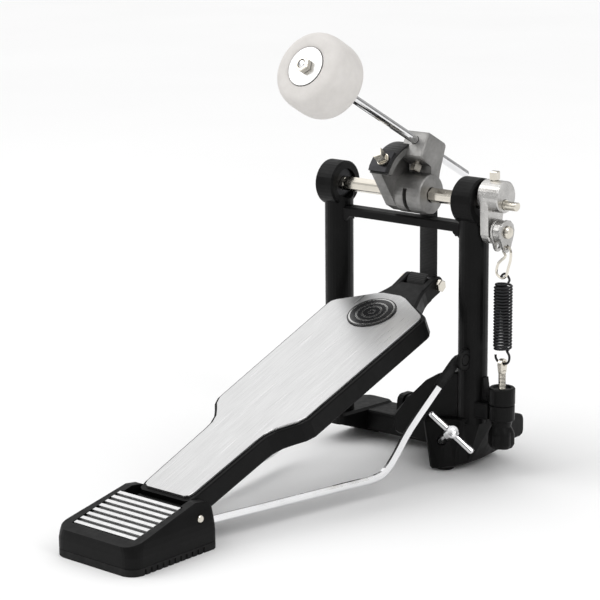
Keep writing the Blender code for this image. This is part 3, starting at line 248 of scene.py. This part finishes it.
def polished(name, colour, low, high):
    """Plated metal with faint wipe marks and a slightly uneven shine."""
    look = Look(name, colour, low, 1.0)
    look.roughness(look.noise(160.0, 5.0), low, high)
    dim = tuple(c * 0.90 for c in colour)
    look.colour(look.ramp(look.noise(35.0, 3.0), [(0.3, dim), (0.7, colour)]))
    look.bump(look.noise(900.0, 3.0), 0.010, 0.5)
    return look


def threaded(name, origin, axis, pitch, start, end):
    """Plated metal with thread ridges between two places along an axis."""
    look = polished(name, (0.72, 0.68, 0.60), 0.16, 0.30)
    place = look.along(origin, axis)
    turns = look.math("PINGPONG", place, pitch / 2)
    above = look.math("GREATER_THAN", place, start)
    below = look.math("LESS_THAN", place, end)
    ridges = look.math("MULTIPLY", turns, 2.0 / pitch)
    look.bump(look.math("MULTIPLY", ridges, look.math("MULTIPLY", above, below)), 0.42, 1.0)
    return look.material


def raw_casting(name, base, low, high):
    """Tumbled die-cast alloy: fine pits, soft stains, an uneven satin shine."""
    look = Look(name, (base, base, base), low, 0.9)
    stains = look.noise(70.0, 5.0, rough=0.6)
    steps = ((0.25, 0.72), (0.5, 1.0), (0.8, 1.3))
    shades = [(place, (base * k, base * k * 0.985, base * k * 0.96)) for place, k in steps]
    look.colour(look.ramp(stains, shades))
    look.roughness(look.noise(420.0, 3.0), low, high)
    look.bump(look.noise(1300.0, 3.0), 0.07, 0.7)
    look.bump(look.noise(260.0, 2.0), 0.10, 0.35)
    return look.material


def brushed(name, turn, base):
    """Sheet brushed along its length: long fine lines and a few deeper ones."""
    look = Look(name, (base, base, base), 0.32, 1.0)
    fine = look.noise(1.0, 2.0, look.mapped((5200.0, 26.0, 120.0), turn))
    deep = look.noise(1.0, 3.0, look.mapped((900.0, 9.0, 60.0), turn))
    look.roughness(deep, 0.26, 0.42)
    look.colour(look.ramp(fine, [(0.25, base * 0.82), (0.75, min(1.0, base * 1.10))]))
    look.bump(fine, 0.012, 0.8)
    return look


def rib_grip():
    """Bright rib tops on a black sheet."""
    look = brushed("rib_grip", (radians(-RAMP_DEG), 0.0, radians(90.0)), 0.84)
    lean = radians(RAMP_DEG)
    depth = look.along(at(0.0, RAMP_Y, RAMP_Z), (0.0, -sin(lean), cos(lean)))
    bright = look.math("GREATER_THAN", depth, -0.95)
    mix = look.nodes.new("ShaderNodeMix")
    mix.data_type = "RGBA"
    look.links.new(bright, mix.inputs["Factor"])
    mix.inputs[6].default_value = (0.010, 0.010, 0.010, 1.0)
    look.links.new(look.shader.inputs["Base Color"].links[0].from_socket, mix.inputs[7])
    look.links.new(mix.outputs[2], look.shader.inputs["Base Color"])
    look.links.new(bright, look.shader.inputs["Metallic"])
    return look.material


def webbing(along, across, name):
    """Black woven webbing: ribs across the strap crossed by fine warp threads."""
    look = Look(name, (0.012, 0.012, 0.012), 0.82)
    ribs = look.math("PINGPONG", look.along((0, 0, 0), along), 0.55)
    warp = look.math("PINGPONG", look.along((0, 0, 0), across), 0.4)
    threads = look.math("ADD", look.math("MULTIPLY", warp, 1.2), 0.5)
    weave = look.math("MULTIPLY", look.math("MULTIPLY", ribs, 1.8), threads)
    look.colour(look.ramp(weave, [(0.1, 0.006), (0.8, 0.030)]))
    look.bump(weave, 0.30, 0.9)
    look.bump(look.noise(3000.0, 2.0), 0.06, 0.5)
    look.set("Sheen Weight", 0.15)
    return look.material


def felt():
    """Pressed wool felt: matt, off-white, with short fibres and soft clouding."""
    look = Look("felt", (0.72, 0.705, 0.685), 0.95)
    clouds = look.noise(90.0, 5.0, rough=0.6)
    fibres = look.noise(1.0, 4.0, look.mapped((1800.0, 1800.0, 600.0)), 0.7)
    look.colour(look.ramp(clouds, [(0.25, (0.645, 0.62, 0.595)), (0.75, (0.735, 0.71, 0.685))]))
    look.bump(fibres, 0.22, 0.7)
    look.bump(clouds, 0.5, 0.35)
    look.set("Sheen Weight", 0.12)
    look.set("Sheen Roughness", 0.6)
    look.set("Specular IOR Level", 0.2)
    return look.material


def badge():
    """Plain round disc: gloss black with raised bright rings."""
    look = Look("badge", (0.02, 0.02, 0.02), 0.18)
    out = look.math("DIVIDE", look.distance(on_board(BADGE_X, BADGE_U, PLATE_TOP + 1.0)), BADGE_R)
    dark = (0.012, 0.012, 0.013)
    light = (0.62, 0.62, 0.61)
    rings = look.ramp(out, [(0.0, dark)])
    band = rings.node.color_ramp
    band.interpolation = "CONSTANT"
    for start, end in BADGE_RINGS:
        band.elements.new(start).color = (*light, 1.0)
        band.elements.new(end).color = (*dark, 1.0)
    band.elements[-1].color = (*dark, 1.0)
    look.colour(rings)
    look.bump(rings, 0.10, 0.6)
    look.links.new(look.ramp(rings, [(0.1, 0.0), (0.4, 1.0)]), look.shader.inputs["Metallic"])
    return look.material


def paint(material, *names):
    for name in names:
        mesh = NODES[name].data
        mesh.materials.clear()
        mesh.materials.append(material)


def paint_nodes():
    coat = powder_coat()
    paint(coat, "base_casting", "clamp_jaw", "left_post", "right_post", "crossbar", "tension_lock_nut",
          "tension_knob", "spring_bracket", "heel_casting", "footboard_casting")
    soft = rubber()
    paint(soft, "base_foot_left", "base_foot_right_rear", "base_foot_right_front", "clamp_upper_pad",
          "left_link_elbow", "right_link_elbow", "heel_rubber_pad")
    paint(clamp_pad(), "clamp_lower_pad")
    chrome = polished("chrome", (0.86, 0.86, 0.87), 0.06, 0.16).material
    paint(chrome, "clamp_bolt", "clamp_bolt_bar", "left_link_rod", "right_link_rod", "beater_shaft",
          "belt_roller")
    paint(polished("zinc_washer", (0.62, 0.62, 0.62), 0.22, 0.34).material, "beater_top_washer")
    nickel = polished("nickel", (0.74, 0.70, 0.62), 0.15, 0.28).material
    paint(nickel, "clamp_jaw_pin", "axle", "beater_clamp_screw", "belt_clamp_washer", "belt_clamp_bolt",
          "rocker_set_screw", "beater_low_washer", "beater_nut", "beater_collar", "clevis_screw",
          "spring_link", "heel_hinge_pin", "toe_bolt", "toe_nut")
    paint(threaded("eye_bolt_metal", at(SPRING_X, 0, 0), (0, 0, 1), 1.0, 20.0, EYE_Z - 7.0), "eye_bolt")
    oiled = polished("black_wire", (0.035, 0.035, 0.037), 0.26, 0.42).material
    paint(oiled, "hub_set_screw", "belt_clamp_plate", "left_bearing", "right_bearing")
    paint(raw_casting("raw_casting", 0.27, 0.38, 0.55), "hub_casting")
    paint(raw_casting("machined_casting", 0.56, 0.24, 0.38), "rocker")
    paint(raw_casting("pressed_plate", 0.48, 0.20, 0.32), "clevis_inner_plate", "clevis_outer_plate",
          "clevis_bearing")
    paint(brushed("brushed_plate", (radians(-BOARD_DEG), 0.0, 0.0), 0.66).material, "footboard_plate")
    paint(rib_grip(), "heel_grip")
    paint(badge(), "toe_badge")
    paint(webbing((0, 0, 1), (1, 0, 0), "webbing_loop"), "belt_toe_loop")
    return oiled


# ---------------------------------------------------------------- new pieces

def add_piece(name, bm, material, body):
    bmesh.ops.recalc_face_normals(bm, faces=bm.faces)
    mesh = bpy.data.meshes.new(name)
    bm.to_mesh(mesh)
    bm.free()
    mesh.shade_smooth()
    mesh.materials.append(material)
    obj = bpy.data.objects.new(name, mesh)
    bpy.context.scene.collection.objects.link(obj)
    if body:
        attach(obj, body)
    return obj


def skin(rings, closed_ends=True):
    """Faces between neighbouring rings of points, and over the first and last."""
    bm = bmesh.new()
    rows = [[bm.verts.new(p) for p in ring] for ring in rings]
    for low, high in zip(rows, rows[1:]):
        for k in range(len(low)):
            j = (k + 1) % len(low)
            bm.faces.new((low[k], low[j], high[j], high[k]))
    if closed_ends:
        bm.faces.new(rows[0])
        bm.faces.new(rows[-1])
    return bm


def felt_head(material):
    """Drum of felt with full round edges, a dished seat for the washer and a slightly uneven skin."""
    lean = radians(SHAFT_DEG)
    axis = Vector((0.0, -cos(lean), sin(lean)))
    side = Vector((1.0, 0.0, 0.0))
    up = axis.cross(side)
    middle = (FELT_LOW + FELT_HIGH) / 2
    half = (FELT_HIGH - FELT_LOW) / 2
    profile = [(FELT_BORE_R, FELT_LOW + 0.3), (9.0, FELT_LOW + 0.3)]
    for k in range(25):
        turn = -pi / 2 + pi * k / 24
        out = abs(cos(turn)) ** FELT_ROUNDING
        rise = (1 if sin(turn) >= 0 else -1) * abs(sin(turn)) ** FELT_ROUNDING
        profile.append((FELT_CORE_R + FELT_EDGE * out, middle + half * rise * 0.985))
    profile += [(14.8, FELT_HIGH - 0.1), (14.3, FELT_HIGH - 0.7), (14.1, FELT_HIGH - 1.6),
                (FELT_BORE_R, FELT_HIGH - 1.6)]
    rings = []
    for radius, along in profile:
        ring = []
        centre = shaft_point(along)
        for k in range(FELT_SIDES):
            t = 2 * pi * k / FELT_SIDES
            point = centre + (side * cos(t) + up * sin(t)) * radius * MM
            if 10.0 < radius and along < FELT_HIGH - 0.5:
                lump = noise.noise(point * 160.0) * 0.22 + noise.noise(point * 700.0) * 0.10
                point -= (side * cos(t) + up * sin(t)) * (0.18 + lump * 0.7) * MM
            ring.append(point)
        rings.append(ring)
    bm = skin(rings + [rings[0]], closed_ends=False)
    bmesh.ops.remove_doubles(bm, verts=bm.verts, dist=1e-7)
    head = add_piece("felt_head", bm, material, "beater_head")
    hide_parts("beater_felt")


def strap_section(centre, out):
    """Eight points round a strap's section: centre and outward direction at one place along it."""
    half = BELT_THICK / 2
    edge = BELT_HALF - 0.5
    shape = [(-edge, -half), (edge, -half), (BELT_HALF, -half * 0.4), (BELT_HALF, half * 0.4),
             (edge, half), (-edge, half), (-BELT_HALF, half * 0.4), (-BELT_HALF, -half * 0.4)]
    return [centre + Vector((x, 0.0, 0.0)) * MM + out * h * MM for x, h in shape]


def belt_pieces():
    """The belt's wrap round the cam and its straight run below it, each built as a strip of webbing."""
    rings = []
    steps = 96
    for k in range(steps + 1):
        turn = radians(BELT_END_DEG * k / steps)
        out = Vector((0.0, cos(turn), sin(turn)))
        rings.append(strap_section(at(BELT_X, CAM_Y, CAM_Z) + out * BELT_R * MM, out))
    wrap = add_piece("belt_wrap", skin(rings), webbing((0, 0, 1), (1, 0, 0), "webbing_wrap"), None)
    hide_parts("belt_on_cam")
    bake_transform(wrap)
    low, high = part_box("belt_run")
    rings = []
    y = (low[1] + high[1]) / 2
    steps = 60
    for k in range(steps + 1):
        z = high[2] + (low[2] - high[2]) * k / steps
        rings.append(strap_section(Vector((at(BELT_X, 0, 0).x, y, z)), Vector((0.0, 1.0, 0.0))))
    run = add_piece("belt_straight", skin(rings), webbing((0, 0, 1), (1, 0, 0), "webbing_run"), None)
    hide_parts("belt_run")
    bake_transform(run)


def tube_path(points, radius, sides):
    """A round tube along a path, without twist."""
    rings = []
    normal = Vector((0.0, 0.0, 1.0))
    for k, point in enumerate(points):
        along = (points[min(k + 1, len(points) - 1)] - points[max(k - 1, 0)]).normalized()
        normal = (normal - along * normal.dot(along)).normalized()
        side = along.cross(normal)
        rings.append([point + (normal * cos(2 * pi * j / sides) + side * sin(2 * pi * j / sides)) * radius
                      for j in range(sides)])
    return skin(rings)


def smooth(points, steps):
    """A smooth path through the points."""
    given = [Vector(p) for p in points]
    ends = [2 * given[0] - given[1]] + given + [2 * given[-1] - given[-2]]
    path = []
    for k in range(1, len(ends) - 2):
        a, b, c, d = ends[k - 1:k + 3]
        for j in range(steps):
            t = j / steps
            path.append(((2 * b) + (c - a) * t + (2 * a - 5 * b + 4 * c - d) * t ** 2
                         + (3 * b - a - 3 * c + d) * t ** 3) / 2)
    path.append(given[-1])
    return path


def coil_spring(material):
    """Close-wound spring that stretches between the wire link and the eye bolt."""
    per_turn = 20
    total = SPRING_TURNS * per_turn
    rise = (SPRING_TOP_Z - SPRING_BOTTOM_Z - 3.0) / SPRING_TURNS
    coil = []
    for k in range(total + 1):
        ends = min(k, total - k) / per_turn
        radius = SPRING_R - 2.2 * max(0.0, 1.0 - ends) ** 2
        t = 2 * pi * k / per_turn
        z = SPRING_BOTTOM_Z + 1.5 + rise * k / per_turn
        coil.append(at(SPRING_X + radius * cos(t), radius * sin(t), z))
    hook_z = LINK_BOTTOM_Z + 2 * LINK_WIRE_R + SPRING_WIRE_R + GAP
    x = SPRING_X
    top = [at(*p) for p in ((x + 2.6, 3.6, SPRING_TOP_Z + 0.4), (x + 0.4, 5.6, SPRING_TOP_Z + 1.8),
                            (x - 0.2, 5.0, hook_z - 1.2), (x - 0.4, 2.6, hook_z + 0.6),
                            (x - 0.6, 0.2, hook_z + 0.5), (x - 0.8, -1.9, hook_z - 1.0))]
    low = [at(*p) for p in ((x - 5.9, 0.0, SPRING_BOTTOM_Z - 2.6), (x - 5.4, 0.0, SPRING_BOTTOM_Z - 5.4),
                            (x - 2.4, 0.0, EYE_Z + 0.1), (x + 2.0, 0.0, EYE_Z - 0.1),
                            (x + 5.2, 0.0, SPRING_BOTTOM_Z - 6.2), (x + 5.9, 0.0, SPRING_BOTTOM_Z - 2.0))]
    path = smooth(low + [coil[0]], 5)[:-1] + coil[:-1] + smooth([coil[-1]] + top, 5)
    spring = add_piece("coil_spring", tube_path(path, SPRING_WIRE_R * MM, 8), material, None)
    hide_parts("spring")
    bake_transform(spring)


# ---------------------------------------------------------------- stage

def floor():
    size = 30.0
    corners = ((-size, -size), (size, -size), (size, size), (-size, size))
    bm = bmesh.new()
    bm.faces.new([bm.verts.new((x, y, 0.0)) for x, y in corners])
    mesh = bpy.data.meshes.new("floor")
    bm.to_mesh(mesh)
    bm.free()
    look = Look("floor", (0.93, 0.93, 0.93), 0.65)
    look.colour(look.ramp(look.noise(2.0, 2.0), [(0.3, 0.915), (0.7, 0.935)]))
    look.set("Specular IOR Level", 0.2)
    mesh.materials.append(look.material)
    obj = bpy.data.objects.new("floor", mesh)
    bpy.context.scene.collection.objects.link(obj)


def area_light(name, place, target, size, power):
    data = bpy.data.lights.new(name, "AREA")
    data.shape = "RECTANGLE"
    data.size, data.size_y = size
    data.energy = power
    light = bpy.data.objects.new(name, data)
    light.location = place
    light.rotation_euler = (Vector(target) - Vector(place)).to_track_quat("-Z", "Y").to_euler()
    bpy.context.scene.collection.objects.link(light)


def sun(name, direction, strength, spread_deg):
    """Light from that direction, softened by its wide disc."""
    data = bpy.data.lights.new(name, "SUN")
    data.energy = strength
    data.angle = radians(spread_deg)
    light = bpy.data.objects.new(name, data)
    light.rotation_euler = Vector(direction).to_track_quat("Z", "Y").to_euler()
    bpy.context.scene.collection.objects.link(light)


def lights():
    """A dome that is bright above and dim at the horizon, one soft key and two soft panels."""
    world = bpy.data.worlds.new("studio")
    world.use_nodes = True
    nodes = world.node_tree.nodes
    links = world.node_tree.links
    split = nodes.new("ShaderNodeSeparateXYZ")
    links.new(nodes.new("ShaderNodeTexCoord").outputs["Generated"], split.inputs[0])
    ramp = nodes.new("ShaderNodeValToRGB")
    band = ramp.color_ramp
    band.elements[0].position = 0.0
    band.elements[0].color = (0.22, 0.22, 0.22, 1.0)
    band.elements[1].position = 0.75
    band.elements[1].color = (1.05, 1.05, 1.05, 1.0)
    links.new(split.outputs["Z"], ramp.inputs["Fac"])
    links.new(ramp.outputs["Color"], nodes["Background"].inputs["Color"])
    nodes["Background"].inputs["Strength"].default_value = 0.95
    bpy.context.scene.world = world
    sun("key", (-0.70, -0.70, 1.0), 1.0, 50.0)
    middle = (0.0, 0.0, 0.12)
    area_light("plate_panel", (-1.15, 0.65, 1.25), middle, (0.7, 0.7), 0.7)
    area_light("side_panel", (1.2, -0.2, 0.9), middle, (0.3, 0.9), 3.0)


def camera():
    """Long lens a little above the pedal, off its right-hand heel corner."""
    azimuth = radians(CAMERA_AZIMUTH_DEG)
    elevation = radians(CAMERA_ELEVATION_DEG)
    roll = radians(CAMERA_ROLL_DEG)
    back = Vector((sin(azimuth) * cos(elevation), -cos(azimuth) * cos(elevation), sin(elevation)))
    right = Vector((cos(azimuth), sin(azimuth), 0.0))
    up = back.cross(right)
    across = right * cos(roll) + up * sin(roll)
    upward = -right * sin(roll) + up * cos(roll)
    data = bpy.data.cameras.new("camera")
    data.lens = CAMERA_LENS
    data.sensor_width = 36.0
    data.clip_start = 0.05
    obj = bpy.data.objects.new("camera", data)
    facing = Matrix((across, upward, back)).transposed().to_4x4()
    obj.matrix_world = Matrix.Translation(CAMERA_PLACE) @ facing
    bpy.context.scene.collection.objects.link(obj)
    bpy.context.scene.camera = obj


camera()
oiled = paint_nodes()
felt_head(felt())
belt_pieces()
coil_spring(oiled)
floor()
lights()
bpy.context.scene.view_settings.view_transform = "Standard"
